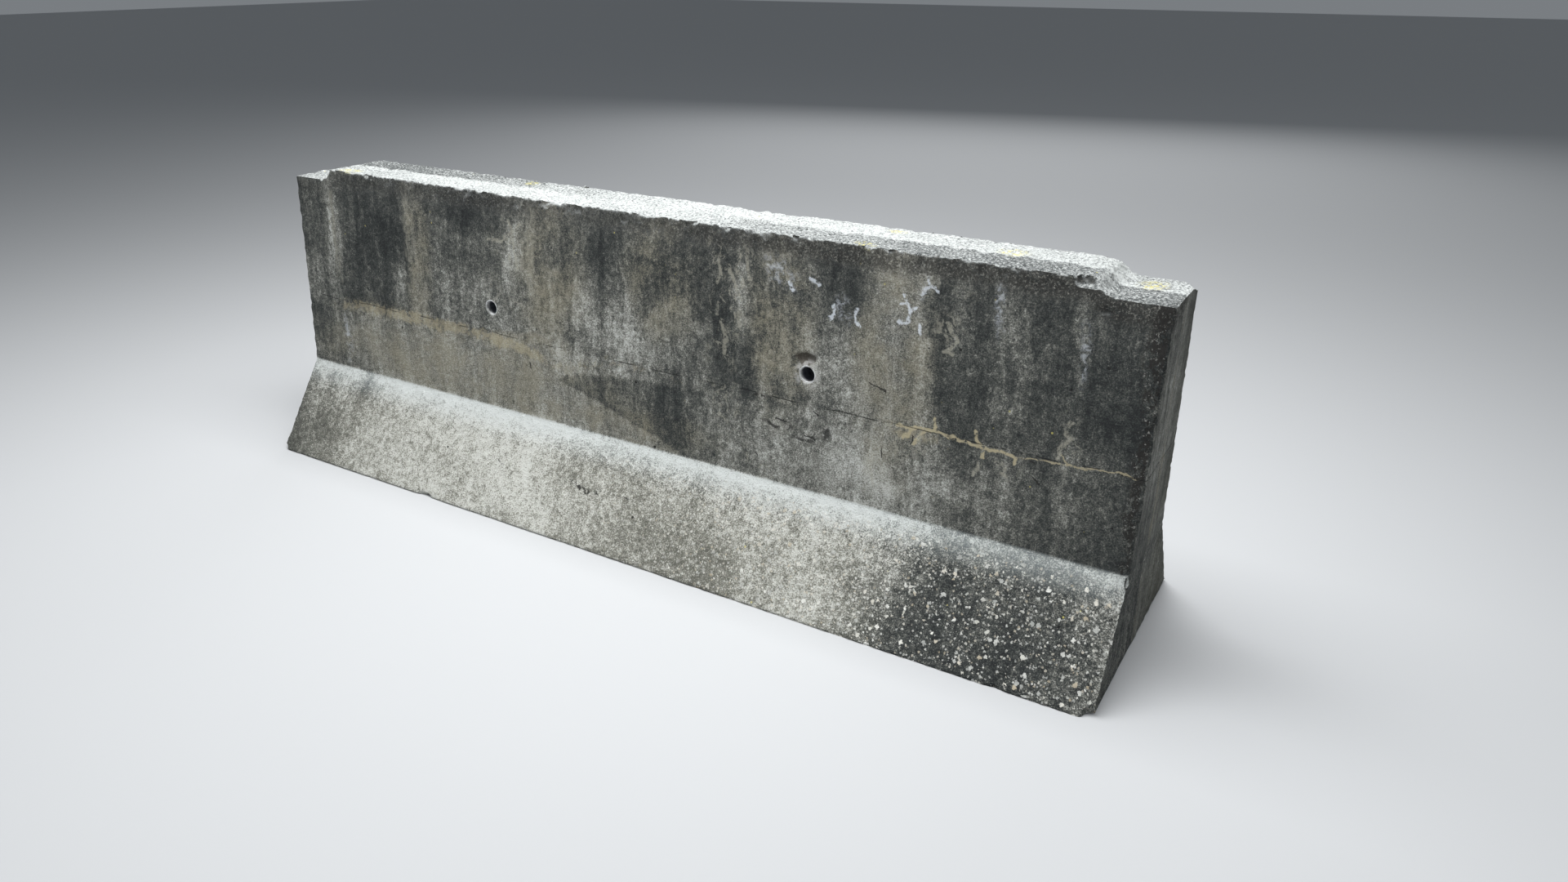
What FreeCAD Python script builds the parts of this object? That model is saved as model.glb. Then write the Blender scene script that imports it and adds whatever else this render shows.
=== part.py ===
"""Precast concrete safety barrier, 2.44 m long, with a battered stem on a sloping toe.

One concrete casting holds everything: two plastic sleeves that line the lifting holes, and a steel
cage of ten straight bars and ten bent stirrups, kept off the mould by plastic wheel spacers. Each end of
the top is lowered to a ledge, so that a coupling plate can lie across the joint between two barriers.

Frame: X along the barrier, Y across it (front is -Y), Z up. The origin is the middle of the base.
Sizes are in millimetres.
"""
import FreeCAD
import Part
import math
import os

from FreeCAD import Vector

# ---- casting ----
LENGTH = 2440.0
HEIGHT = 810.0
BASE_WIDTH = 610.0
KNEE_HEIGHT = 240.0
KNEE_WIDTH = 276.0
TOP_WIDTH = 180.0

KNEE_ROUND = 45.0
BASE_ARRIS_ROUND = 4.0
TOP_EDGE_ROUND = 10.0
END_CHAMFER = 9.0

# ---- lowered ledge at each end of the top ----
LEDGE_LENGTH = 123.0
LEDGE_DROP = 30.0
LEDGE_RAMP_RUN = 27.0
LEDGE_ROUND = 14.0

# ---- lifting holes ----
LIFTING_HOLE_SPACING = 950.0
LIFTING_HOLE_BELOW_TOP = 300.0
SLEEVE_OUTER_DIAMETER = 42.0
SLEEVE_WALL = 3.0

# ---- reinforcement ----
COVER = 40.0
STIRRUP_DIAMETER = 12.0
BAR_DIAMETER = 16.0
BAR_GAP = 1.0
STIRRUP_BEND = 28.0
STIRRUP_KNEE_BEND = 70.0
STIRRUP_TAIL_SHORT_OF_LEG = 16.0
STIRRUP_END_COVER = 60.0
STIRRUPS_BETWEEN_HOLES = 4
STIRRUPS_OUTSIDE_EACH_HOLE = 3
STIRRUP_FROM_HOLE = 110.0
KNEE_BAR_ABOVE_KNEE = 25.0

# ---- wheel spacers ----
SPACER_CLEARANCE = 3.0
SPACER_THICKNESS = 10.0
SPACER_RIM = 4.0
SPACER_HUB_WALL = 4.0
SPACER_SPOKE = 3.0
SPACER_SPOKES = 6
SPACED_STIRRUPS = (0, 3, 6, 9)

STEM_LEAN = (KNEE_WIDTH - TOP_WIDTH) / 2 / (HEIGHT - KNEE_HEIGHT)
TOE_LEAN = (BASE_WIDTH - KNEE_WIDTH) / 2 / KNEE_HEIGHT
LEDGE_LEVEL = HEIGHT - LEDGE_DROP
HOLE_HEIGHT = HEIGHT - LIFTING_HOLE_BELOW_TOP
FRONT, BACK = -1, 1


def stem_half_width(z, inset=0.0):
    """Half the width across the stem faces at a height, measured to a line set in from the face."""
    return TOP_WIDTH / 2 + (HEIGHT - z) * STEM_LEAN - inset * math.hypot(1, STEM_LEAN)


def toe_half_width(z, inset=0.0):
    """Half the width across the toe faces at a height, measured to a line set in from the face."""
    return BASE_WIDTH / 2 - z * TOE_LEAN - inset * math.hypot(1, TOE_LEAN)


def knee_height(inset=0.0):
    """Height at which the inset stem line and the inset toe line meet."""
    return (toe_half_width(0, inset) - stem_half_width(0, inset)) / (TOE_LEAN - STEM_LEAN)


def rounded_path(points, radii):
    """Edges along a polyline, with a tangent arc of the given radius at each inner corner."""
    edges = []
    start = points[0]
    for i in range(1, len(points) - 1):
        corner = points[i]
        inward = (corner - points[i - 1]).normalize()
        outward = (points[i + 1] - corner).normalize()
        turn = inward.getAngle(outward)
        reach = radii[i - 1] * math.tan(turn / 2)
        arc_start = corner - inward * reach
        arc_end = corner + outward * reach
        bisector = (outward - inward).normalize()
        centre = corner + bisector * (radii[i - 1] / math.cos(turn / 2))
        arc_middle = centre - bisector * radii[i - 1]
        edges.append(Part.LineSegment(start, arc_start).toShape())
        edges.append(Part.Arc(arc_start, arc_middle, arc_end).toShape())
        start = arc_end
    edges.append(Part.LineSegment(start, points[-1]).toShape())
    return edges


def round_bar(edges, diameter):
    """A round bar swept along a chain of tangent edges."""
    path = Part.Wire(edges)
    start = edges[0].Vertexes[0].Point
    direction = edges[0].tangentAt(edges[0].FirstParameter)
    section = Part.Wire(Part.makeCircle(diameter / 2, start, direction))
    bar = path.makePipeShell([section], True, False)
    if bar.Volume < 0:
        bar.reverse()
    return bar


def export(name, solids):
    """Write one node's solids to its STEP file."""
    shape = solids[0] if len(solids) == 1 else Part.makeCompound(solids)
    shape.exportStep(f"parts/{name}.step")


# ---- concrete ----
def casting_outline():
    """The cross-section with its knees and base corners rounded and its top corners still sharp."""
    half = [
        (TOP_WIDTH / 2, HEIGHT, None),
        (KNEE_WIDTH / 2, KNEE_HEIGHT, KNEE_ROUND),
        (BASE_WIDTH / 2, 0, BASE_ARRIS_ROUND),
    ]
    corners = half + [(-y, z, r) for y, z, r in reversed(half)]
    points = [Vector(0, y, z) for y, z, _ in corners]
    radii = [r for _, _, r in corners if r]
    edges = rounded_path(points, radii)
    edges.append(Part.LineSegment(points[-1], points[0]).toShape())
    return Part.Wire(edges)


def ledge_cutter(side):
    """The block removed above one end's ledge, with its ramp and the rounds at the ramp's top and foot."""
    end = side * (LENGTH / 2 + LEDGE_LENGTH)
    foot = side * (LENGTH / 2 - LEDGE_LENGTH)
    head = foot - side * LEDGE_RAMP_RUN
    reach = TOP_WIDTH
    points = [
        Vector(end, -reach, LEDGE_LEVEL),
        Vector(foot, -reach, LEDGE_LEVEL),
        Vector(head, -reach, HEIGHT),
        Vector(head - side * LEDGE_RAMP_RUN, -reach, HEIGHT),
    ]
    edges = rounded_path(points, [LEDGE_ROUND, LEDGE_ROUND])
    above = [Vector(p.x, p.y, HEIGHT + LEDGE_DROP) for p in (points[-1], points[0])]
    rest = [points[-1], above[0], above[1], points[0]]
    edges += [Part.LineSegment(a, b).toShape() for a, b in zip(rest, rest[1:])]
    return Part.Face(Part.Wire(edges)).extrude(Vector(0, 2 * reach, 0))


def is_top_edge(edge):
    """A long edge between a stem face and the top, its ramp or its ledge."""
    box = edge.BoundBox
    across = box.YLength < LEDGE_DROP
    on_side = abs(abs(box.Center.y) - stem_half_width(box.Center.z)) < LEDGE_DROP * STEM_LEAN
    return box.ZMin > LEDGE_LEVEL - 1 and across and on_side and box.XLength > 1


def is_end_edge(edge):
    """An edge of the outline of either end face."""
    box = edge.BoundBox
    return box.XLength < 1e-6 and abs(abs(box.Center.x) - LENGTH / 2) < 1e-6


def bare_casting():
    """The concrete with its ledges, rounds and chamfers, before anything is cast in."""
    body = Part.Face(casting_outline()).extrude(Vector(LENGTH, 0, 0))
    body.translate(Vector(-LENGTH / 2, 0, 0))
    body = body.cut(ledge_cutter(-1)).cut(ledge_cutter(1))
    body = body.makeFillet(TOP_EDGE_ROUND, [e for e in body.Edges if is_top_edge(e)])
    return body.makeChamfer(END_CHAMFER, [e for e in body.Edges if is_end_edge(e)])


# ---- lifting sleeves ----
def lifting_sleeve(side):
    """A plain pipe, cut square, whose upper edges lie flush with the stem faces."""
    x = side * LIFTING_HOLE_SPACING / 2
    radius = SLEEVE_OUTER_DIAMETER / 2
    half_length = stem_half_width(HOLE_HEIGHT + radius)
    start = Vector(x, -half_length, HOLE_HEIGHT)
    outer = Part.makeCylinder(radius, 2 * half_length, start, Vector(0, 1, 0))
    inner = Part.makeCylinder(radius - SLEEVE_WALL, 2 * half_length, start, Vector(0, 1, 0))
    return outer.cut(inner)


def sleeve_hole(side):
    """The hole that a sleeve leaves, right through the stem."""
    start = Vector(side * LIFTING_HOLE_SPACING / 2, -KNEE_WIDTH, HOLE_HEIGHT)
    return Part.makeCylinder(SLEEVE_OUTER_DIAMETER / 2, 2 * KNEE_WIDTH, start, Vector(0, 1, 0))


# ---- stirrups ----
STIRRUP_INSET = COVER + STIRRUP_DIAMETER / 2
STIRRUP_TOP = LEDGE_LEVEL - STIRRUP_INSET
STIRRUP_LAP = (STIRRUP_DIAMETER + BAR_GAP) / 2


def stirrup_corners():
    """The front half of a stirrup's centreline as sharp corners (y, z): top, knee and toe."""
    knee = knee_height(STIRRUP_INSET)
    return [
        (-stem_half_width(STIRRUP_TOP, STIRRUP_INSET), STIRRUP_TOP),
        (-stem_half_width(knee, STIRRUP_INSET), knee),
        (-toe_half_width(STIRRUP_INSET, STIRRUP_INSET), STIRRUP_INSET),
    ]


def stirrup(x):
    """One bent link. Its two ends lap side by side over the top, so its back leg is set along by a bar."""
    half = stirrup_corners()
    tail = abs(half[0][0]) - STIRRUP_TAIL_SHORT_OF_LEG
    front = [Vector(x - STIRRUP_LAP, tail, STIRRUP_TOP)]
    front += [Vector(x - STIRRUP_LAP, y, z) for y, z in half]
    back = [Vector(x + STIRRUP_LAP, -y, z) for y, z in reversed(half)]
    back += [Vector(x + STIRRUP_LAP, -tail, STIRRUP_TOP)]
    bends = [STIRRUP_BEND, STIRRUP_KNEE_BEND, STIRRUP_BEND]
    return round_bar(rounded_path(front + back, bends + bends[::-1]), STIRRUP_DIAMETER)


def stirrup_places():
    """Stations of the stirrups: a group between the lifting holes, and one outside each hole."""
    hole = LIFTING_HOLE_SPACING / 2
    inner = hole - STIRRUP_FROM_HOLE
    step = 2 * inner / (STIRRUPS_BETWEEN_HOLES - 1)
    between = [-inner + i * step for i in range(STIRRUPS_BETWEEN_HOLES)]
    first = hole + STIRRUP_FROM_HOLE
    last = LENGTH / 2 - STIRRUP_END_COVER
    step = (last - first) / (STIRRUPS_OUTSIDE_EACH_HOLE - 1)
    outside = [first + i * step for i in range(STIRRUPS_OUTSIDE_EACH_HOLE)]
    return [-x for x in reversed(outside)] + between + outside


# ---- straight bars ----
BAR_FROM_STIRRUP = STIRRUP_DIAMETER / 2 + BAR_GAP + BAR_DIAMETER / 2


def in_the_bend(before, corner, after):
    """Centre of a bar that lies inside a stirrup's bend, a bar gap away from it. Points are (y, z)."""
    to_before = Vector(before[0] - corner[0], before[1] - corner[1], 0).normalize()
    to_after = Vector(after[0] - corner[0], after[1] - corner[1], 0).normalize()
    half_angle = to_before.getAngle(to_after) / 2
    reach = STIRRUP_BEND / math.sin(half_angle) - (STIRRUP_BEND - BAR_FROM_STIRRUP)
    centre = (to_before + to_after).normalize() * reach
    return corner[0] + centre.x, corner[1] + centre.y


def on_the_leg(z):
    """Centre of a bar that lies against the inside of the front leg at a height."""
    return -stem_half_width(z, STIRRUP_INSET + BAR_FROM_STIRRUP), z


def bar_places():
    """Name and centre (y, z) of each straight bar on the front side."""
    top, knee, toe = stirrup_corners()
    top_bar = in_the_bend((0, top[1]), top, knee)
    knee_bar = on_the_leg(knee[1] + KNEE_BAR_ABOVE_KNEE)
    return {
        "top_bar": top_bar,
        "upper_stem_bar": on_the_leg((top_bar[1] + HOLE_HEIGHT) / 2),
        "lower_stem_bar": on_the_leg((HOLE_HEIGHT + knee_bar[1]) / 2),
        "knee_bar": knee_bar,
        "toe_bar": in_the_bend(knee, toe, (0, toe[1])),
    }


def straight_bar(y, z):
    """A straight bar along the barrier, with the stated cover at its ends."""
    length = LENGTH - 2 * COVER
    return Part.makeCylinder(BAR_DIAMETER / 2, length, Vector(-length / 2, y, z), Vector(1, 0, 0))


# ---- wheel spacers ----
def wheel_spacer(x, side, along):
    """A wheel clipped on a stirrup leg, its rim just short of the mould. along is (point, direction)."""
    (y, z), direction = along
    outer = STIRRUP_INSET - SPACER_CLEARANCE
    hub = STIRRUP_DIAMETER / 2 + SPACER_HUB_WALL
    axis = Vector(0, 0, 1)
    base = Vector(0, 0, -SPACER_THICKNESS / 2)
    rim = Part.makeCylinder(outer, SPACER_THICKNESS, base, axis)
    rim = rim.cut(Part.makeCylinder(outer - SPACER_RIM, SPACER_THICKNESS, base, axis))
    wheel = rim.fuse(Part.makeCylinder(hub, SPACER_THICKNESS, base, axis))
    spoke_length = outer - SPACER_RIM / 2
    for i in range(SPACER_SPOKES):
        spoke = Part.makeBox(spoke_length, SPACER_SPOKE, SPACER_THICKNESS, base - Vector(0, SPACER_SPOKE / 2, 0))
        spoke.rotate(Vector(0, 0, 0), axis, (i + 0.5) * 360 / SPACER_SPOKES)
        wheel = wheel.fuse(spoke)
    wheel = wheel.cut(Part.makeCylinder(STIRRUP_DIAMETER / 2, SPACER_THICKNESS, base, axis)).removeSplitter()
    wheel.Placement = FreeCAD.Placement(
        Vector(x + side * STIRRUP_LAP, side * abs(y), z),
        FreeCAD.Rotation(axis, Vector(0, side * abs(direction[0]), direction[1])),
    )
    return wheel.Solids[0]


def spacer_places():
    """Middle of the leg between the two stem bars, and middle of the toe leg, each with its direction."""
    _, knee, toe = stirrup_corners()
    bars = bar_places()
    z = (bars["upper_stem_bar"][1] + bars["lower_stem_bar"][1]) / 2
    stem = (-stem_half_width(z, STIRRUP_INSET), z)
    middle = ((knee[0] + toe[0]) / 2, (knee[1] + toe[1]) / 2)
    return [(stem, (STEM_LEAN, -1)), (middle, (TOE_LEAN, -1))]


def build():
    """Every node's solids by name. The concrete is made last, round all that is cast into it."""
    nodes = {}
    for side, label in ((-1, "left"), (1, "right")):
        nodes[f"lifting_sleeve_{label}"] = [lifting_sleeve(side)]
    for side, label in ((FRONT, "front"), (BACK, "back")):
        for name, (y, z) in bar_places().items():
            nodes[f"{name}_{label}"] = [straight_bar(side * abs(y), z)]
    places = stirrup_places()
    for i, x in enumerate(places):
        nodes[f"stirrup_{i + 1:02d}"] = [stirrup(x)]
    for side, label in ((FRONT, "front"), (BACK, "back")):
        nodes[f"cover_spacers_{label}"] = [
            wheel_spacer(places[i], side, place) for i in SPACED_STIRRUPS for place in spacer_places()
        ]
    cast_in = [s for name, solids in nodes.items() if "sleeve" not in name for s in solids]
    concrete = bare_casting().cut([sleeve_hole(-1), sleeve_hole(1)] + cast_in)
    nodes["concrete_body"] = concrete.Solids
    return nodes


os.makedirs("parts", exist_ok=True)
for node, solids in build().items():
    export(node, solids)
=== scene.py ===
import bmesh
import bpy
import math
import random
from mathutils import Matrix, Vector


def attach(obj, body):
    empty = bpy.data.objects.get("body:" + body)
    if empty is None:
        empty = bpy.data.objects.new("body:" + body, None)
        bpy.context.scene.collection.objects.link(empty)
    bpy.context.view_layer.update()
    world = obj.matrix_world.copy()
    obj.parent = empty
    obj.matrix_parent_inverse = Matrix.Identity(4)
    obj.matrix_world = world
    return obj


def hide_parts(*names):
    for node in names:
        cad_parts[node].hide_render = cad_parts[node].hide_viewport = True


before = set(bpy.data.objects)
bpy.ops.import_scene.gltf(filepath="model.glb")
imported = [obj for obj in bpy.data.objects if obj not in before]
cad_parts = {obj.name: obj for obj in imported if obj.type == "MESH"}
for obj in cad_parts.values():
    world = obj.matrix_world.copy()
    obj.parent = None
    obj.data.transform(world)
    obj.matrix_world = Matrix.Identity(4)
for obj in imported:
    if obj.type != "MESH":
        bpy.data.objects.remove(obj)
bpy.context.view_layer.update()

# ---- Concrete casting ----
# One precast unit of weathered grey concrete: a battered stem on a sloping toe, with a lowered ledge at
# each end of its top. It was cast upside down in a steel mould, and years of lifting have worn its arrises.
LENGTH = 2.440
HEIGHT = 0.810
BASE_WIDTH = 0.610
KNEE_HEIGHT = 0.240
KNEE_WIDTH = 0.276
TOP_WIDTH = 0.180
LEDGE_LENGTH = 0.123
LEDGE_DROP = 0.030
RAMP_RUN = 0.027
END = LENGTH / 2
LEDGE_HEIGHT = HEIGHT - LEDGE_DROP
BATTER = (KNEE_WIDTH - TOP_WIDTH) / 2 / (HEIGHT - KNEE_HEIGHT)
NEAR = 0.001  # places that differ by less than this are taken as one


def pick(kind, test):
    """Selects the verts, edges or faces in edit mode whose lowest and highest corners pass the test."""
    bpy.ops.mesh.select_mode(type={"verts": "VERT", "edges": "EDGE", "faces": "FACE"}[kind])
    bpy.ops.mesh.select_all(action="DESELECT")
    mesh = bmesh.from_edit_mesh(bpy.context.object.data)
    for item in getattr(mesh, kind):
        corners = [item] if kind == "verts" else item.verts
        low = Vector([min(v.co[i] for v in corners) for i in range(3)])
        high = Vector([max(v.co[i] for v in corners) for i in range(3)])
        if test(low, high):
            item.select_set(True)
    mesh.select_flush_mode()
    bmesh.update_edit_mesh(bpy.context.object.data)


def only(piece):
    """Makes one piece the only selected one, and the active one."""
    bpy.ops.object.select_all(action="DESELECT")
    piece.select_set(True)
    bpy.context.view_layer.objects.active = piece


def modify(piece, kind, **settings):
    """Adds a modifier to a piece and applies it."""
    only(piece)
    modifier = piece.modifiers.new(kind.title(), kind)
    for name, value in settings.items():
        setattr(modifier, name, value)
    bpy.ops.object.modifier_apply(modifier=modifier.name)


bpy.ops.object.select_all(action="DESELECT")
bpy.ops.mesh.primitive_cube_add(size=1, location=(0, 0, KNEE_HEIGHT / 2),
                                scale=(LENGTH, BASE_WIDTH, KNEE_HEIGHT))
casting = bpy.context.object
casting.name = "concrete_casting"
bpy.ops.object.transform_apply(location=True, rotation=True, scale=True)
bpy.ops.object.mode_set(mode="EDIT")
pick("faces", lambda low, high: low.z > KNEE_HEIGHT - NEAR)
bpy.ops.transform.resize(value=(1, KNEE_WIDTH / BASE_WIDTH, 1))
bpy.ops.mesh.extrude_region_move(TRANSFORM_OT_translate={"value": (0, 0, HEIGHT - KNEE_HEIGHT)})
bpy.ops.transform.resize(value=(1, TOP_WIDTH / KNEE_WIDTH, 1))
for side in (-1, 1):
    for x in (END - LEDGE_LENGTH, END - LEDGE_LENGTH - RAMP_RUN):
        bpy.ops.mesh.select_all(action="SELECT")
        bpy.ops.mesh.bisect(plane_co=(side * x, 0, 0), plane_no=(1, 0, 0))
pick("verts", lambda low, high: low.z > HEIGHT - NEAR and abs(low.x) > END - LEDGE_LENGTH - NEAR)
bpy.ops.transform.translate(value=(0, 0, -LEDGE_DROP))
bpy.ops.transform.resize(value=(1, 1 + 2 * LEDGE_DROP * BATTER / TOP_WIDTH, 1))


# The wet mix rounds off at every arris of the mould, and the top edges have worn to a wider round since.
def lies_along(low, high):
    return high.x - low.x > 0.01


def is_knee(low, high):
    straight = high.z - low.z < NEAR and high.y - low.y < NEAR
    return lies_along(low, high) and straight and abs(low.z - KNEE_HEIGHT) < NEAR


def is_foot(low, high):
    return lies_along(low, high) and high.z < NEAR and high.y - low.y < NEAR


def is_top(low, high):
    outer = abs(low.y) > TOP_WIDTH / 2 - NEAR and high.y - low.y < 0.01
    return lies_along(low, high) and outer and low.z > LEDGE_HEIGHT - NEAR


def is_ramp_edge(low, high):
    across = high.x - low.x < NEAR and high.y - low.y > 0.1
    return across and low.z > LEDGE_HEIGHT - NEAR and abs(low.x) < END - NEAR


def is_end(low, high):
    return abs(low.x + high.x) / 2 > END - NEAR and high.x - low.x < NEAR


ARRISES = (
    (is_knee, 0.005, 3),
    (is_foot, 0.006, 2),
    (is_ramp_edge, 0.009, 3),
    (is_top, 0.017, 3),
    (is_end, 0.009, 2),
)
for test, width, steps in ARRISES:
    pick("edges", test)
    bpy.ops.mesh.bevel(offset=width, segments=steps, affect="EDGES", clamp_overlap=True)
bpy.ops.object.mode_set(mode="OBJECT")

# Knocks and frost have broken lumps out of the arrises. Each is (x, y, z, size, squash along each axis).
random.seed(8)
BIG_CHIPS = [
    (1.226, -0.302, 0.006, 0.030, (1.0, 1.0, 0.9)),
    (1.223, 0.094, 0.785, 0.026, (1.0, 1.2, 0.8)),
    (1.060, 0.096, 0.806, 0.020, (1.6, 0.9, 0.8)),
    (-1.222, 0.090, 0.784, 0.024, (1.0, 1.0, 0.8)),
    (-1.075, 0.093, 0.812, 0.018, (1.4, 0.8, 0.8)),
    (1.100, -0.104, 0.752, 0.022, (1.3, 0.6, 0.7)),
    (1.058, -0.094, 0.806, 0.021, (1.5, 0.9, 0.8)),
    (-1.224, -0.300, 0.004, 0.018, (1.0, 0.8, 0.8)),
    (-0.620, -0.306, 0.001, 0.020, (1.3, 0.8, 0.7)),
    (0.474, -0.113, 0.549, 0.018, (1.7, 0.45, 0.75)),
    (0.446, -0.1145, 0.532, 0.012, (1.0, 0.5, 1.0)),
    (1.224, -0.142, 0.236, 0.016, (0.8, 0.8, 1.6)),
    (-0.410, 0.305, 0.002, 0.026, (1.7, 0.8, 0.8)),
    (0.730, 0.304, 0.004, 0.022, (1.2, 0.8, 0.9)),
    (-1.223, 0.140, 0.262, 0.018, (0.8, 0.8, 1.8)),
    (0.210, 0.093, 0.808, 0.017, (2.0, 0.8, 0.7)),
]


def edge_chips():
    """Small chips along the top edges, the upright end arrises, the foot and the ends of the ledges."""
    chips = []
    for side, count in ((-1, 26), (1, 20)):
        for _ in range(count):
            x = random.uniform(-1.06, 1.06)
            size = random.uniform(0.004, 0.008)
            z = HEIGHT - 0.002 - random.random() * 0.006
            squash = (random.uniform(1.0, 2.4), 0.8, random.uniform(0.6, 1.0))
            chips.append((x, side * (TOP_WIDTH / 2 + 0.001), z, size, squash))
    for end, side, count in ((1, -1, 30), (1, 1, 12), (-1, -1, 8), (-1, 1, 10)):
        for _ in range(count):
            z = random.uniform(KNEE_HEIGHT + 0.02, LEDGE_HEIGHT - 0.01)
            y = TOP_WIDTH / 2 + (HEIGHT - z) * BATTER
            size = random.uniform(0.003, 0.007)
            squash = (0.9, 0.9, random.uniform(1.0, 2.4))
            chips.append((end * (END + 0.001), side * (y - 0.002), z, size, squash))
    for _ in range(26):
        x = random.uniform(-1.2, 1.2)
        y = random.choice((-1, 1)) * BASE_WIDTH / 2
        size = random.uniform(0.004, 0.010)
        chips.append((x, y, 0.001, size, (random.uniform(1.2, 3.0), 0.8, 0.8)))
    for end in (-1, 1):
        for _ in range(9):
            y = random.uniform(-0.08, 0.08)
            size = random.uniform(0.004, 0.009)
            chips.append((end * END, y, LEDGE_HEIGHT, size, (0.9, random.uniform(1.0, 2.0), 0.8)))
    return chips


lump_skin = bpy.data.textures.new("broken_face", "CLOUDS")
lump_skin.noise_scale = 0.35
bpy.ops.object.select_all(action="DESELECT")
lumps = []
for x, y, z, size, squash in BIG_CHIPS + edge_chips():
    bpy.ops.mesh.primitive_ico_sphere_add(subdivisions=3 if size > 0.012 else 2, radius=1, location=(x, y, z))
    lump = bpy.context.object
    modify(lump, "DISPLACE", texture=lump_skin, texture_coords="GLOBAL", strength=0.5, mid_level=0.5)
    lump.scale = [size * s for s in squash]
    bpy.ops.object.transform_apply(location=True, rotation=True, scale=True)
    lumps.append(lump)
for lump in lumps:
    lump.select_set(True)
bpy.ops.object.join()
breakage = bpy.context.object
modify(breakage, "REMESH", mode="VOXEL", voxel_size=0.0025)
modify(casting, "BOOLEAN", object=breakage, operation="DIFFERENCE", solver="MANIFOLD")
bpy.data.objects.remove(breakage)


# The bare skin of the casting is then taken down by weather: hardly at all on the mould faces, more on the
# top, which was trowelled and has lost its paste, and on the foot of the right half, which stands in spray.
def weathering(place, normal):
    """How far the skin at a place has been worn, from 0 to 1."""
    x, y, z = place
    if normal.z < -0.9:
        return 0.0
    if z > LEDGE_HEIGHT - 0.02 and normal.z > 0.6:
        return 1.0
    near_top = max(0.0, 1 - (HEIGHT - z) / 0.05)
    near_end = max(0.0, 1 - (END - abs(x)) / 0.03) * (1.0 if x > 0 > y else 0.3)
    on_toe = 1.0 if z < KNEE_HEIGHT else 0.0
    spray = min(1.0, max(0.0, (x - 0.3) / 0.5)) if y < 0 else 0.4
    return min(1.0, 0.12 + 0.9 * near_top + 0.35 * near_end + on_toe * (0.18 + 0.5 * spray))


def relief(name, kind, size, stops=None, **settings):
    """A texture that a Displace modifier reads, with an optional ramp of (place, grey) stops."""
    texture = bpy.data.textures.new(name, kind)
    texture.noise_scale = size
    for key, value in settings.items():
        setattr(texture, key, value)
    if stops:
        texture.use_color_ramp = True
        for element, (place, grey) in zip(texture.color_ramp.elements, stops):
            element.position = place
            element.color = (grey, grey, grey, 1)
    return texture


modify(casting, "REMESH", mode="VOXEL", voxel_size=0.004)
worn = casting.vertex_groups.new(name="worn")
for vertex in casting.data.vertices:
    worn.add([vertex.index], weathering(vertex.co, vertex.normal), "REPLACE")
mould_face = casting.vertex_groups.new(name="mould_face")
mould_face.add([v.index for v in casting.data.vertices if v.normal.z > -0.9], 1.0, "REPLACE")
waves = relief("mould_waves", "CLOUDS", 0.22)
grit = relief("lost_paste", "CLOUDS", 0.014, noise_depth=3)
hollows = relief("frost_hollows", "CLOUDS", 0.045, [(0.52, 0.0), (0.72, 1.0)], noise_depth=2)
pits = relief("pop_outs", "VORONOI", 0.05, [(0.02, 1.0), (0.16, 0.0)])
WEAR = (
    ("mould_face", waves, 0.0014),
    ("worn", grit, 0.0048),
    ("worn", hollows, 0.0036),
    ("worn", pits, 0.0040),
)
for group, texture, depth in WEAR:
    modify(casting, "DISPLACE", texture=texture, texture_coords="GLOBAL", strength=-depth, mid_level=0.0,
           vertex_group=group)
TRIANGLES_KEPT = 186000
modify(casting, "TRIANGULATE")
modify(casting, "DECIMATE", ratio=min(1.0, TRIANGLES_KEPT / len(casting.data.polygons)))

HOLE_X = 0.475
HOLE_HEIGHT = 0.510
SLEEVE_RADIUS = 0.021
for side in (-1, 1):
    bpy.ops.object.select_all(action="DESELECT")
    bpy.ops.mesh.primitive_cylinder_add(vertices=64, radius=SLEEVE_RADIUS, depth=2 * KNEE_WIDTH,
                                        location=(side * HOLE_X, 0, HOLE_HEIGHT), rotation=(math.pi / 2, 0, 0))
    drill = bpy.context.object
    modify(casting, "BOOLEAN", object=drill, operation="DIFFERENCE", solver="MANIFOLD")
    bpy.data.objects.remove(drill)
for vertex in casting.data.vertices:
    vertex.co.z = min(max(vertex.co.z, 0.0), HEIGHT)
only(casting)
bpy.ops.object.shade_smooth_by_angle(angle=math.radians(50))
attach(casting, "root")
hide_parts("concrete_body")


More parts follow.
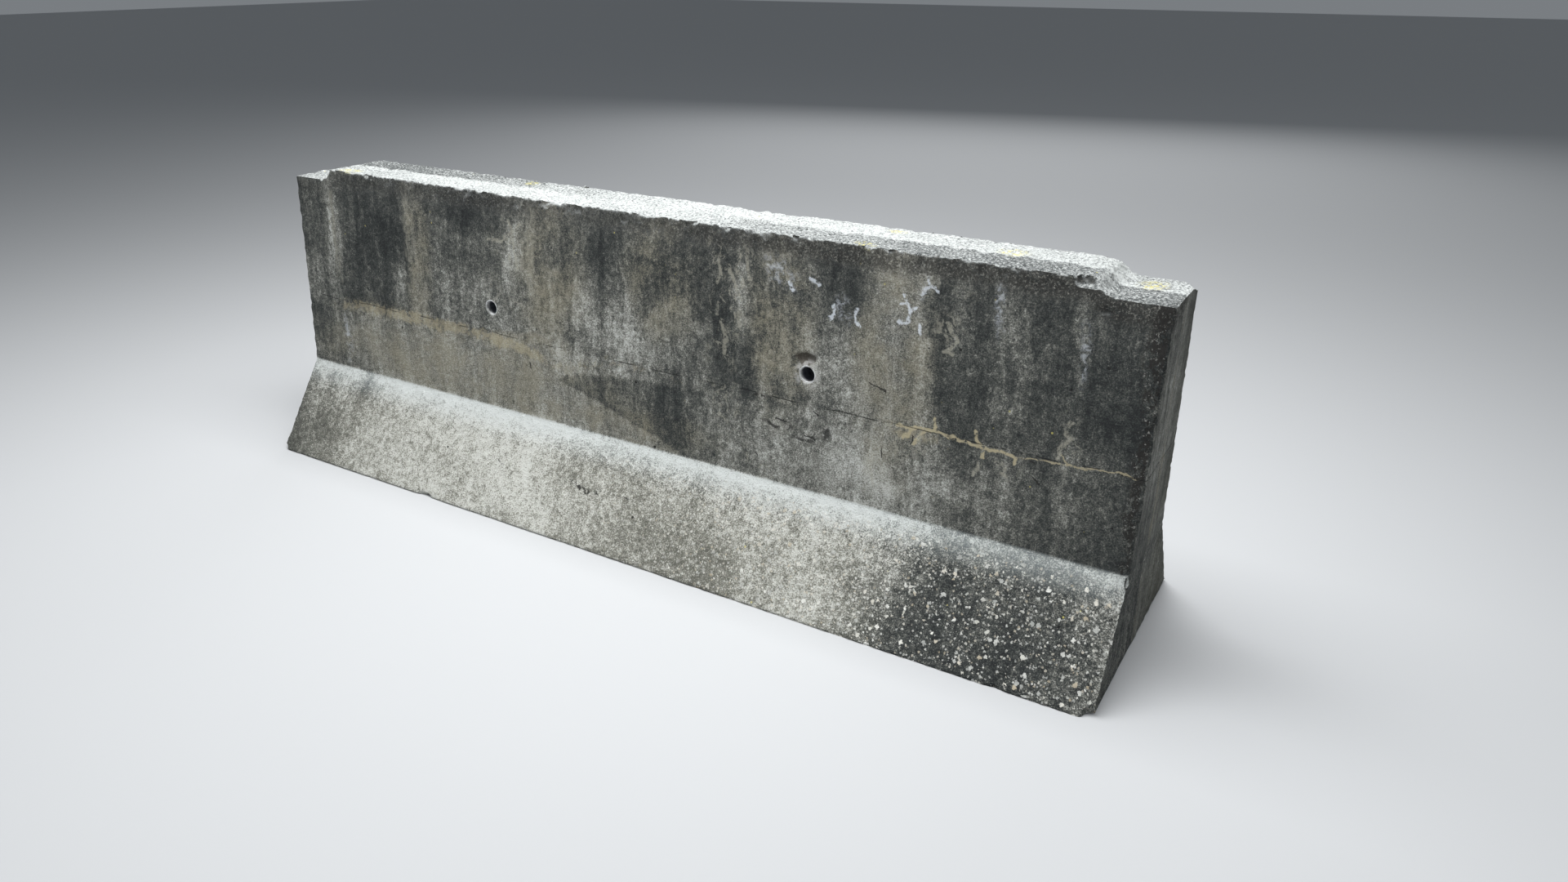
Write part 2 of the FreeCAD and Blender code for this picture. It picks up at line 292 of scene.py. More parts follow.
class Finish:
    """A material, with short calls for the nodes that these finishes are made of."""

    def __init__(self, name):
        self.material = bpy.data.materials.new(name)
        self.material.use_nodes = True
        self.tree = self.material.node_tree
        self.shader = self.tree.nodes["Principled BSDF"]
        self.place = self.add("ShaderNodeTexCoord", out="Object")
        self.normal = self.add("ShaderNodeNewGeometry", out="Normal")

    def feed(self, node, key, value):
        """Sets an input of a node, or links it where the value is another node's output."""
        if isinstance(value, bpy.types.NodeSocket):
            self.tree.links.new(value, node.inputs[key])
        else:
            node.inputs[key].default_value = value

    def add(self, kind, inputs=(), out=0, **settings):
        """Adds a node with its settings and inputs, and returns one of its outputs."""
        made = self.tree.nodes.new(kind)
        for key, value in settings.items():
            setattr(made, key, value)
        for key, value in dict(inputs).items():
            self.feed(made, key, value)
        return made.outputs[out]

    def calc(self, operation, first, second=0.0, third=0.0):
        return self.add("ShaderNodeMath", {0: first, 1: second, 2: third}, operation=operation)

    def move(self, operation, first, second):
        return self.add("ShaderNodeVectorMath", {0: first, 1: second}, operation=operation)

    def times(self, value, amount):
        return self.calc("MULTIPLY", value, amount)

    def plus(self, base, value, amount):
        """Adds an amount of a value to a base."""
        return self.calc("MULTIPLY_ADD", value, amount, base)

    def swing(self, noise):
        """A noise from 0 to 1, as a swing to either side of 0."""
        return self.calc("SUBTRACT", noise, 0.5)

    def rest(self, share):
        """What a share leaves of 1."""
        return self.calc("SUBTRACT", 1.0, share)

    def step(self, value, low, high):
        """Rises smoothly from 0 at low to 1 at high, or falls where low is the larger."""
        rising = low < high
        ends = {"From Min": min(low, high), "From Max": max(low, high), "To Min": 0.0 if rising else 1.0,
                "To Max": 1.0 if rising else 0.0}
        return self.add("ShaderNodeMapRange", {"Value": value, **ends}, interpolation_type="SMOOTHSTEP")

    def noise(self, place, scale, detail=4.0, rough=0.55, warp=0.0, out="Fac"):
        inputs = {"Vector": place, "Scale": scale, "Detail": detail, "Roughness": rough, "Distortion": warp}
        return self.add("ShaderNodeTexNoise", inputs, out=out)

    def cells(self, place, scale, out="Distance"):
        return self.add("ShaderNodeTexVoronoi", {"Vector": place, "Scale": scale}, out=out)

    def ramp(self, value, stops):
        """Turns a number from 0 to 1 into a colour, by a line of (number, colour) stops."""
        made = self.add("ShaderNodeValToRGB", {0: value})
        line = made.node.color_ramp
        for _ in stops[2:]:
            line.elements.new(0.5)
        for element, (number, _) in zip(line.elements, stops):
            element.position = number
        for element, (_, tone) in zip(line.elements, stops):
            element.color = (*tone, 1)
        return made

    def profile(self, value, stops):
        """Reads a level off a line of (place in metres, level) stops."""
        low, high = stops[0][0], stops[-1][0]
        reading = {"Value": value, "From Min": low, "From Max": high}
        share = self.add("ShaderNodeMapRange", reading, clamp=False)
        greys = [((place - low) / (high - low), (level, level, level)) for place, level in stops]
        return self.add("ShaderNodeRGBToBW", {0: self.ramp(share, greys)})

    def jitter(self, place, scale, detail, rough, reach):
        """A shove by a noise, as far as reach along each axis."""
        shove = self.noise(place, scale, detail, rough, out="Color")
        parts = self.add("ShaderNodeSeparateColor", {0: shove}).node.outputs
        shifts = [self.plus(-most / 2, part, most) for part, most in zip(parts, reach)]
        return self.add("ShaderNodeCombineXYZ", dict(enumerate(shifts)))

    def blend(self, share, under, over):
        """Lays one colour over another."""
        return self.add("ShaderNodeMix", {0: share, 6: under, 7: over}, out=2, data_type="RGBA")

    def coat(self, under, share, strength, over):
        """Lays a colour over another where the share is, no stronger than the strength."""
        return self.blend(self.times(share, strength), under, over)

    def between(self, share, first, second):
        """Goes from one number to another."""
        return self.add("ShaderNodeMix", {0: share, 2: first, 3: second}, data_type="FLOAT")

    def both(self, *shares):
        result = shares[0]
        for share in shares[1:]:
            result = self.times(result, share)
        return result

    def either(self, *shares):
        result = shares[0]
        for share in shares[1:]:
            result = self.calc("MAXIMUM", result, share)
        return result

    def patch(self, place, centre, size, edge):
        """A soft oval patch: 1 inside, 0 outside."""
        offset = self.move("SUBTRACT", place, centre)
        offset = self.move("DIVIDE", offset, size)
        distance = self.add("ShaderNodeVectorMath", {0: offset}, out="Value", operation="LENGTH")
        return self.step(distance, 1 + edge, 1 - edge)

    def patches(self, place, places, edge=0.45):
        """Soft oval patches on a side: (x, z, half length, half height) each."""
        return self.either(*[self.patch(place, (x, 0, z), (rx, 1, rz), edge) for x, z, rx, rz in places])

    def strokes(self, place, lines, width):
        """Thin marks along lines of (x, z) points: 1 on the line, 0 beyond its width."""
        nearest = None
        runs = [run for line in lines for run in zip(line, line[1:])]
        for (x, z), (next_x, next_z) in runs:
            reach = (next_x - x, 0, next_z - z)
            offset = self.move("SUBTRACT", place, (x, 0, z))
            share = self.add("ShaderNodeVectorMath", {0: offset, 1: reach}, "Value", operation="DOT_PRODUCT")
            share = self.add("ShaderNodeClamp", {0: self.calc("DIVIDE", share, reach[0] ** 2 + reach[2] ** 2)})
            foot = self.add("ShaderNodeVectorMath", {0: reach, 3: share}, operation="SCALE")
            away = self.add("ShaderNodeVectorMath", {0: offset, 1: foot}, "Value", operation="DISTANCE")
            nearest = away if nearest is None else self.calc("MINIMUM", nearest, away)
        return self.step(nearest, width, width * 0.35)

    def bump(self, height, strength, distance):
        """Raises the skin by a height, as a share of the distance in metres."""
        return self.add("ShaderNodeBump", {"Height": height, "Strength": strength, "Distance": distance})

    def surface(self, name, value):
        """Sets or links an input of the shader."""
        self.feed(self.shader, name, value)


# The bare concrete is a warm grey. Rain has washed soot and algae down the stem in streaks, lime has bled out
# in pale crusts, and a day joint runs along the stem above the knee. The toe is paler, and its right end has
# lost its paste, so that pale pebbles stand out of a dark film. GREY_LEVELS is (darkness of the film, colour).
GREY_LEVELS = (
    (0.00, (0.640, 0.655, 0.625)),
    (0.22, (0.385, 0.388, 0.352)),
    (0.45, (0.188, 0.190, 0.170)),
    (0.66, (0.092, 0.097, 0.088)),
    (0.85, (0.050, 0.055, 0.053)),
    (1.05, (0.027, 0.031, 0.031)),
    (1.40, (0.012, 0.014, 0.015)),
)
DARKEST = GREY_LEVELS[-1][0]

# How dark the film is along the stem and toe: (place along the barrier, level). One line for each height.
UPPER_STEM = [
    (-1.22, 0.60), (-1.12, 0.68), (-1.09, 0.46), (-1.05, 0.56), (-1.02, 0.80), (-0.82, 0.80), (-0.77, 0.56),
    (-0.70, 0.58), (-0.64, 0.78), (-0.46, 0.80), (-0.40, 0.54), (-0.30, 0.50), (-0.20, 0.58), (-0.08, 0.68),
    (0.04, 0.60), (0.16, 0.64), (0.24, 0.78), (0.33, 0.70), (0.42, 0.56), (0.52, 0.66), (0.58, 0.66),
    (0.63, 0.34), (0.75, 0.34), (0.775, 0.80), (0.88, 0.74), (0.95, 0.82), (1.07, 0.70), (1.14, 0.82),
    (1.22, 0.88),
]
MIDDLE_STEM = [
    (-1.22, 0.54), (-1.13, 0.58), (-1.09, 0.44), (-1.02, 0.70), (-0.88, 0.72), (-0.80, 0.54), (-0.66, 0.52),
    (-0.50, 0.48), (-0.36, 0.46), (-0.26, 0.48), (-0.16, 0.42), (0.00, 0.42), (0.12, 0.54), (0.20, 0.66),
    (0.30, 0.68), (0.38, 0.52), (0.50, 0.42), (0.64, 0.38), (0.755, 0.42), (0.785, 0.80), (1.00, 0.74),
    (1.10, 0.80), (1.22, 0.86),
]
LOWER_STEM = [
    (-1.22, 0.72), (-1.12, 0.66), (-1.07, 0.40), (-1.00, 0.38), (-0.60, 0.34), (-0.30, 0.34), (-0.10, 0.36),
    (0.06, 0.44), (0.16, 0.62), (0.26, 0.62), (0.34, 0.50), (0.42, 0.36), (0.66, 0.33), (0.78, 0.48),
    (0.86, 0.62), (1.02, 0.66), (1.12, 0.74), (1.22, 0.84),
]
TOE_BROW = [
    (-1.22, 0.86), (-1.17, 0.46), (-1.12, 0.60), (-1.06, 0.36), (-1.00, 0.46), (-0.975, 0.92),
    (-0.945, 0.50), (-0.86, 0.28), (-0.30, 0.22), (-0.16, 0.40), (0.02, 0.42), (0.22, 0.46), (0.34, 0.32),
    (0.60, 0.30), (0.74, 0.52), (0.82, 0.88), (1.06, 0.90), (1.16, 0.72), (1.22, 0.40),
]
TOE_FOOT = [
    (-1.22, 0.95), (-1.14, 0.78), (-1.05, 0.66), (-0.95, 0.40), (-0.80, 0.28), (-0.20, 0.28), (-0.10, 0.48),
    (0.10, 0.58), (0.28, 0.72), (0.40, 0.52), (0.55, 0.42), (0.68, 0.54), (0.76, 0.92), (0.90, 1.04),
    (1.10, 1.04), (1.17, 0.84), (1.22, 0.44),
]

paint = Finish("weathered_concrete")
split = paint.add("ShaderNodeSeparateXYZ", {0: paint.place})
facing = paint.add("ShaderNodeSeparateXYZ", {0: paint.normal})
facing_up = facing.node.outputs["Z"]
depth = split.node.outputs["Y"]
height = split.node.outputs["Z"]
front = paint.step(depth, 0.02, -0.02)
turned = paint.between(front, -1.0, 1.0)
along = paint.calc("MULTIPLY", split.node.outputs["X"], turned)  # the back is the front turned half round
wobble = paint.jitter(paint.place, 5.0, 5.0, 0.6, (0.10, 0.10, 0.16))
flat = paint.add("ShaderNodeCombineXYZ", {"X": along, "Y": 0.0, "Z": height})
drawn = paint.move("ADD", flat, wobble)
drawn_split = paint.add("ShaderNodeSeparateXYZ", {0: drawn})
drawn_along = drawn_split.node.outputs["X"]
drawn_height = drawn_split.node.outputs["Z"]
grit_grain = paint.noise(paint.place, 170.0, 5.0, 0.8)
# The top mask reaches down over the rounded top edges, so that they take the top's pale colour; this is partly
# painted light, making those edges look as brightly lit as the top.
tilt = paint.plus(facing_up, paint.swing(grit_grain), 1.6)
on_top = paint.both(paint.step(tilt, 0.12, 0.58), paint.step(height, 0.70, 0.74))
on_end = paint.step(paint.calc("ABSOLUTE", facing.node.outputs["X"]), 0.7, 0.9)
on_toe = paint.step(height, KNEE_HEIGHT + 0.004, KNEE_HEIGHT - 0.004)
off_toe = paint.rest(on_toe)
off_end = paint.rest(on_end)

stem = paint.between(paint.step(drawn_height, 0.54, 0.66), paint.profile(drawn_along, MIDDLE_STEM),
                     paint.profile(drawn_along, UPPER_STEM))
stem = paint.between(paint.step(drawn_height, 0.465, 0.425), stem, paint.profile(drawn_along, LOWER_STEM))
toe = paint.between(paint.step(drawn_height, 0.06, 0.17), paint.profile(drawn_along, TOE_FOOT),
                    paint.profile(drawn_along, TOE_BROW))
# Painted light: the brow of the toe, just under the knee, is made paler in two bands, for the light from above
# that falls on it there.
brow_painted_light = paint.both(on_toe, off_end, paint.step(height, 0.170, 0.232))
toe = paint.plus(-0.12, toe, 1.02)
toe = paint.calc("SUBTRACT", toe, paint.times(brow_painted_light, 0.26))
toe = paint.plus(toe, paint.both(off_end, paint.step(height, 0.210, 0.238)), -0.20)

# Places that the film has darkened or the rain has cleaned: (along, height, half length, half height).
DARK_PLACES = [
    (-0.50, 0.745, 0.12, 0.05), (0.55, 0.73, 0.04, 0.08), (-0.93, 0.62, 0.08, 0.12),
    (0.28, 0.50, 0.06, 0.10), (1.16, 0.60, 0.05, 0.16), (0.22, 0.66, 0.04, 0.08), (-0.11, 0.71, 0.03, 0.05),
    (0.06, 0.66, 0.06, 0.05),
]
LIGHT_PLACES = [
    (1.13, 0.565, 0.028, 0.040), (0.93, 0.60, 0.030, 0.14), (-0.385, 0.66, 0.04, 0.07),
    (-0.05, 0.505, 0.11, 0.04), (0.30, 0.64, 0.03, 0.12), (0.82, 0.32, 0.10, 0.05),
    (-0.54, 0.605, 0.05, 0.10), (0.64, 0.33, 0.10, 0.04),
]
stem = paint.plus(stem, paint.patches(drawn, DARK_PLACES, 0.7), 0.17)
stem = paint.plus(stem, paint.patches(drawn, LIGHT_PLACES, 0.7), -0.12)

# A dark wedge of old film hangs under the joint, about the middle, with a clean edge on its lower side.
WEDGE_FLOOR = [(-0.30, 0.400), (-0.26, 0.356), (-0.10, 0.315), (0.04, 0.275), (0.16, 0.235)]
WEDGE_ROOF = [(-0.30, 0.345), (-0.26, 0.362), (-0.18, 0.388), (-0.05, 0.409), (0.24, 0.412)]
wedge_floor = paint.profile(along, WEDGE_FLOOR)
wedge_roof = paint.profile(along, WEDGE_ROOF)
low_wobble = paint.times(paint.swing(paint.noise(paint.place, 14.0, 5.0, 0.65)), 0.030)
ragged_height = paint.calc("ADD", height, low_wobble)
wedge = paint.both(paint.step(paint.calc("SUBTRACT", ragged_height, wedge_floor), -0.002, 0.008),
                   paint.step(paint.calc("SUBTRACT", wedge_roof, ragged_height), -0.004, 0.010),
                   paint.step(along, 0.24, 0.10), paint.step(along, -0.29, -0.25), front)
stem = paint.plus(stem, wedge, 0.27)
film = paint.between(on_toe, stem, toe)

# Rain streaks run down the stem, clouds of film break it up, and a fine grain covers all. They are quieter in
# the washed places, and the ends have streaks of their own, on a tone lighter than the stem's that is painted
# light.
clouds = paint.swing(paint.noise(paint.place, 8.0, 10.0, 0.72, 0.3))
runs = paint.noise(paint.move("MULTIPLY", drawn, (26.0, 26.0, 1.6)), 1.0, 5.0, 0.62)
threads = paint.noise(paint.move("MULTIPLY", drawn, (120.0, 120.0, 5.0)), 1.0, 4.0, 0.65)
streaks = paint.times(paint.swing(runs), 0.85)
streaks = paint.calc("ADD", streaks, paint.times(paint.swing(threads), 0.55))
streaks = paint.both(streaks, paint.calc("ADD", 0.50, paint.times(off_toe, 0.50)))
mottle = paint.swing(paint.noise(paint.place, 70.0, 6.0, 0.76))
grain = paint.swing(paint.noise(paint.place, 330.0, 3.0, 0.8))
CALM_PLACES = [
    (-0.62, 0.33, 0.48, 0.09), (-0.08, 0.285, 0.20, 0.04), (0.66, 0.62, 0.08, 0.20),
    (0.60, 0.32, 0.16, 0.06),
]
lively = paint.plus(1.0, paint.both(paint.patches(drawn, CALM_PLACES, 0.5), off_toe), -0.45)
dark = paint.plus(film, paint.both(clouds, lively), paint.between(on_toe, 1.20, 1.10))
dark = paint.plus(dark, paint.both(streaks, lively), 1.10)
dark = paint.plus(dark, paint.both(mottle, lively), paint.between(on_toe, 1.35, 2.00))
dark = paint.plus(dark, grain, paint.between(on_toe, 1.9, 3.0))
end_runs = paint.noise(paint.move("MULTIPLY", paint.place, (1.0, 55.0, 3.0)), 1.0, 5.0, 0.65)
# Painted light: the end faces start from a lighter tone than the stem, for the light that falls on them; their
# own streaks and a darkening towards the bottom lie on it.
end_film_and_painted_light = paint.plus(0.42, paint.step(height, 0.62, 0.22), 0.20)
end_film_and_painted_light = paint.plus(end_film_and_painted_light, paint.swing(end_runs), 1.1)
end_film_and_painted_light = paint.plus(end_film_and_painted_light, paint.calc("SUBTRACT", dark, film), 0.55)
dark = paint.between(on_end, dark, end_film_and_painted_light)
grey_stops = [(level / DARKEST, tone) for level, tone in GREY_LEVELS]
colour = paint.ramp(paint.calc("DIVIDE", dark, DARKEST), grey_stops)

# Tan silt and rust lie along the day joint and below it, and in the washed stretches between the streaks. The
# toe is silty low down, and the ends are browner at the back.
TAN = (0.275, 0.245, 0.160, 1)
SILT = (0.45, 0.43, 0.33, 1)
END_BROWN = (0.055, 0.055, 0.034, 1)
TAN_PLACES = [
    (-0.95, 0.440, 0.16, 0.030), (-0.72, 0.435, 0.22, 0.026), (-0.42, 0.430, 0.20, 0.022),
    (-0.60, 0.33, 0.56, 0.10), (-0.10, 0.29, 0.28, 0.05), (-0.26, 0.62, 0.10, 0.20),
    (0.68, 0.60, 0.09, 0.24), (0.40, 0.60, 0.08, 0.18), (0.08, 0.66, 0.10, 0.12), (-0.74, 0.60, 0.05, 0.16),
]
SILT_LINE = [(-1.22, 0.5), (-0.90, 1.0), (0.60, 1.0), (0.78, 0.0), (1.22, 0.0)]
tan = paint.both(paint.patches(drawn, TAN_PLACES), off_toe, paint.step(clouds, 0.22, -0.18))
tan = paint.both(tan, paint.step(dark, 0.95, 0.35))
colour = paint.coat(colour, tan, 0.60, TAN)
silt = paint.both(on_toe, paint.step(height, 0.215, 0.150), paint.profile(along, SILT_LINE))
colour = paint.coat(colour, silt, 0.16, SILT)
edge_brown = paint.both(on_end, paint.step(depth, -0.02, 0.14), paint.step(clouds, -0.20, 0.15))
colour = paint.coat(colour, edge_brown, 0.6, END_BROWN)

# The day joint is a hairline. To its right a crack branches off it like a root, healed with tan lime, and on
# the left the lime makes a loose lace. Cracks are lines of (along, height) points.
HEALED = (0.530, 0.465, 0.305, 1)
ROOTS = [
    [(0.700, 0.441), (0.735, 0.443), (0.785, 0.447), (0.885, 0.436), (0.965, 0.431)],
    [(0.790, 0.446), (0.780, 0.474)],
    [(0.765, 0.445), (0.735, 0.410)],
    [(0.740, 0.443), (0.715, 0.418)],
    [(0.885, 0.436), (0.872, 0.462)],
    [(0.890, 0.434), (0.893, 0.414)],
    [(0.965, 0.431), (0.960, 0.418)],
]
HAIRLINES = [[(0.940, 0.432), (1.065, 0.438), (1.200, 0.446)], [(1.065, 0.438), (1.050, 0.456)]]
LACE_SHARE = [
    (-1.22, 0.0), (-1.12, 0.3), (-1.06, 0.8), (-0.80, 1.0), (-0.36, 1.0), (-0.24, 0.5), (0.00, 0.5),
    (0.14, 0.3), (0.20, 0.0), (0.64, 0.0), (0.70, 0.8), (0.80, 0.6), (0.86, 0.0), (1.22, 0.0),
]
LACE_HEIGHT = [
    (-1.22, 0.430), (-0.60, 0.436), (-0.38, 0.420), (-0.24, 0.395), (-0.18, 0.410), (-0.05, 0.435),
    (0.14, 0.425), (0.68, 0.430), (1.22, 0.430),
]
joint_height = paint.plus(0.431, paint.noise(paint.move("MULTIPLY", flat, (1, 1, 0)), 5.0, 5.0, 0.6), 0.022)
off_joint = paint.calc("SUBTRACT", height, joint_height)
joint = paint.both(paint.step(paint.calc("ABSOLUTE", off_joint), 0.0016, 0.0004), off_toe,
                   paint.step(paint.noise(flat, 13.0, 5.0, 0.65), 0.44, 0.56))
traced = paint.move("ADD", flat, paint.jitter(paint.place, 26.0, 4.0, 0.6, (0.030, 0.0, 0.030)))
root = paint.both(paint.strokes(traced, ROOTS, 0.0056),
                  paint.step(paint.noise(paint.place, 90.0, 4.0, 0.6), 0.34, 0.46))
hair = paint.both(paint.strokes(traced, HAIRLINES, 0.0028),
                  paint.step(paint.noise(paint.place, 70.0, 4.0, 0.6), 0.38, 0.48))
lace_share = paint.profile(along, LACE_SHARE)
lace_height = paint.profile(along, LACE_HEIGHT)
lace_off = paint.calc("ABSOLUTE", paint.calc("SUBTRACT", ragged_height, lace_height))
lace = paint.both(paint.step(lace_off, 0.034, 0.004), lace_share, off_toe)
lace_noise = paint.noise(paint.move("MULTIPLY", drawn, (1.0, 1.0, 0.8)), 48.0, 6.0, 0.78)
lace = paint.step(paint.plus(paint.times(lace, 0.30), lace_noise, 1.25), 0.76, 0.96)
bleed = paint.either(root, paint.times(hair, 0.8),
                     paint.both(lace, lace_share, paint.step(lace_off, 0.032, 0.014), 0.52))
bleed = paint.both(bleed, off_toe, front)
colour = paint.coat(colour, bleed, 0.85, HEALED)

# Lime crusts: ragged pale runs where water came out through the stem, and bluer frosted spots above. The brow
# of the toe is tinted pale and bluish as painted light, for the light from above. Places are (along, height,
# half length, half height).
LIME = (0.560, 0.540, 0.440, 1)
WHITE = (0.820, 0.870, 0.930, 1)
PAINTED_BROW_LIGHT = (0.60, 0.68, 0.70, 1)
CRUST_PLACES = [
    (-0.385, 0.70, 0.05, 0.07), (-0.34, 0.755, 0.05, 0.03), (0.235, 0.72, 0.04, 0.06),
    (0.300, 0.71, 0.04, 0.07), (0.255, 0.60, 0.05, 0.09), (0.26, 0.385, 0.05, 0.07),
    (0.80, 0.66, 0.03, 0.04), (1.055, 0.475, 0.025, 0.05), (0.705, 0.425, 0.05, 0.03),
    (0.95, 0.40, 0.03, 0.03), (-0.20, 0.37, 0.06, 0.02), (0.36, 0.27, 0.06, 0.03),
]
FROST_PLACES = [
    (0.900, 0.722, 0.012, 0.045), (1.068, 0.665, 0.010, 0.060), (-1.062, 0.345, 0.012, 0.070),
    (0.745, 0.745, 0.014, 0.020), (0.40, 0.715, 0.04, 0.03), (0.555, 0.660, 0.024, 0.020),
]
FROST_MARKS = [
    [(0.690, 0.722), (0.698, 0.702), (0.707, 0.684), (0.700, 0.664)],
    [(0.698, 0.702), (0.682, 0.697)],
    [(0.707, 0.684), (0.720, 0.692)],
    [(0.700, 0.664), (0.687, 0.660)],
    [(0.727, 0.664), (0.731, 0.648)],
    [(0.727, 0.728), (0.745, 0.742), (0.741, 0.758)],
    [(0.745, 0.742), (0.760, 0.738)],
    [(0.520, 0.645), (0.533, 0.656), (0.529, 0.672)],
    [(0.588, 0.673), (0.584, 0.655), (0.593, 0.640)],
    [(0.470, 0.722), (0.492, 0.712)],
    [(0.420, 0.705), (0.428, 0.690)],
]
CRUST_MARKS = [
    [(1.060, 0.522), (1.054, 0.503), (1.068, 0.492), (1.054, 0.480), (1.045, 0.470), (1.048, 0.448)],
    [(0.790, 0.676), (0.802, 0.655), (0.813, 0.646), (0.800, 0.630), (0.788, 0.617), (0.806, 0.618)],
    [(0.941, 0.407), (0.937, 0.393), (0.946, 0.386)],
    [(0.888, 0.399), (0.884, 0.382), (0.876, 0.371)],
    [(-0.470, 0.683), (-0.425, 0.690), (-0.390, 0.718), (-0.365, 0.735)],
    [(-0.390, 0.718), (-0.385, 0.670), (-0.375, 0.628)],
    [(-0.405, 0.745), (-0.390, 0.718)],
    [(0.235, 0.735), (0.243, 0.700), (0.232, 0.680)],
    [(0.262, 0.715), (0.285, 0.680), (0.300, 0.650)],
    [(0.245, 0.590), (0.262, 0.560), (0.255, 0.520)],
    [(0.310, 0.745), (0.318, 0.700)],
]
PALE_RUNS = [
    [(-0.777, 0.795), (-0.775, 0.600)],
    [(-1.080, 0.740), (-1.070, 0.500)],
    [(-0.330, 0.780), (-0.335, 0.560)],
    [(0.640, 0.360), (0.642, 0.270)],
]
veins = paint.noise(paint.place, 24.0, 5.0, 0.6, 1.2)
veins = paint.step(paint.calc("ABSOLUTE", paint.swing(veins)), 0.030, 0.008)
crumbs = paint.step(paint.noise(paint.place, 55.0, 5.0, 0.65), 0.50, 0.62)
lobes = paint.noise(paint.move("MULTIPLY", drawn, (1.0, 1.0, 0.6)), 40.0, 6.0, 0.65, 0.8)
lobes = paint.step(lobes, 0.55, 0.61)
crust = paint.both(paint.patches(drawn, CRUST_PLACES, 0.6), off_toe,
                   paint.either(paint.both(veins, crumbs), lobes))
broken = paint.step(paint.noise(paint.place, 120.0, 4.0, 0.7), 0.36, 0.52)
crust_marks = paint.both(paint.strokes(traced, CRUST_MARKS, 0.0062), broken, off_toe, front)
frost_marks = paint.both(paint.strokes(traced, FROST_MARKS, 0.0054), broken, off_toe, front)
pale_runs = paint.both(paint.strokes(traced, PALE_RUNS, 0.016), off_toe, paint.step(threads, 0.38, 0.62))
frost = paint.both(paint.patches(drawn, FROST_PLACES, 0.6), off_toe,
                   paint.step(paint.noise(paint.place, 60.0, 6.0, 0.72, 0.5), 0.46, 0.64), 0.6)
stray = paint.both(veins, paint.step(paint.noise(paint.place, 4.5, 3.0, 0.5), 0.60, 0.70), off_toe)
colour = paint.coat(colour, pale_runs, 0.30, LIME)
crust = paint.either(paint.times(crust, 0.72), paint.times(stray, 0.35), paint.times(crust_marks, 0.8))
colour = paint.coat(colour, crust, 0.55, LIME)
frost = paint.either(frost, frost_marks)
colour = paint.coat(colour, frost, 0.72, WHITE)
# Painted light: a pale bluish tint on the brow of the toe, for the light from above.
colour = paint.coat(colour, brow_painted_light, 0.26, PAINTED_BROW_LIGHT)


# Pebbles stand out of the toe, thickest at its right end. PEBBLE_TONES is (a stone's own number, colour).
PEBBLE_TONES = (
    (0.0, (0.78, 0.77, 0.70)),
    (0.35, (0.44, 0.45, 0.43)),
    (0.7, (0.88, 0.88, 0.83)),
    (1.0, (0.48, 0.41, 0.29)),
)


def pebbles(scale, share, spread):
    """Round stones in the skin: (how much of a stone is here, its own number)."""
    shove = paint.jitter(paint.place, 2.2 * scale, 2.0, 0.5, (0.9 / scale,) * 3)
    shaken = paint.move("ADD", paint.place, shove)
    away = paint.cells(shaken, scale)
    own = paint.cells(shaken, scale, "Color")
    lot = paint.add("ShaderNodeSeparateColor", {0: own})
    radius = paint.times(paint.step(lot, 1 - share, 1.12 - share * 0.4), spread)
    edge = paint.calc("SUBTRACT", radius, away)
    return paint.step(edge, 0.0, 0.09), lot.node.outputs["Green"]


STONE_LINE = [
    (-1.22, 0.22), (-0.90, 0.12), (-0.20, 0.15), (0.10, 0.35), (0.40, 0.55), (0.70, 0.6), (0.80, 1.0),
    (1.22, 1.0),
]
stone_line = paint.profile(drawn_along, STONE_LINE)
stone_zone = paint.both(on_toe, off_end, stone_line, paint.step(height, 0.235, 0.19))
big, big_lot = pebbles(82.0, 0.42, 0.48)
small, small_lot = pebbles(165.0, 0.55, 0.50)
big_tones = paint.ramp(big_lot, PEBBLE_TONES)
small_tones = paint.ramp(small_lot, PEBBLE_TONES)
big = paint.both(big, paint.step(stone_zone, 0.25, 0.75))
small = paint.both(small, paint.step(stone_zone, 0.05, 0.55))
colour = paint.coat(colour, small, 0.66, small_tones)
colour = paint.coat(colour, big, 0.94, big_tones)

# The top is scoured nearly white, with grey grit that thickens to the right and a few lichens, each at
# (along, across, half length, half width).
TOP_TONES = ((0.12, (0.56, 0.585, 0.575)), (0.90, (0.065, 0.072, 0.072)))
LICHEN = (0.62, 0.56, 0.17, 1)
GRIT_LINE = [
    (-1.22, 0.46), (-0.90, 0.34), (-0.20, 0.22), (0.20, 0.40), (0.50, 0.64), (0.86, 0.78), (1.22, 0.70),
]
LICHEN_PLACES = [
    (0.585, -0.075, 0.022, 0.016), (0.870, 0.02, 0.030, 0.020), (-1.005, -0.065, 0.035, 0.020),
    (1.15, 0.03, 0.025, 0.03), (-0.45, 0.05, 0.018, 0.02), (0.60, 0.055, 0.02, 0.014),
]
grit_line = paint.profile(along, GRIT_LINE)
bare = paint.plus(grit_line, paint.swing(grit_grain), 4.2)
bare = paint.plus(bare, clouds, 0.8)
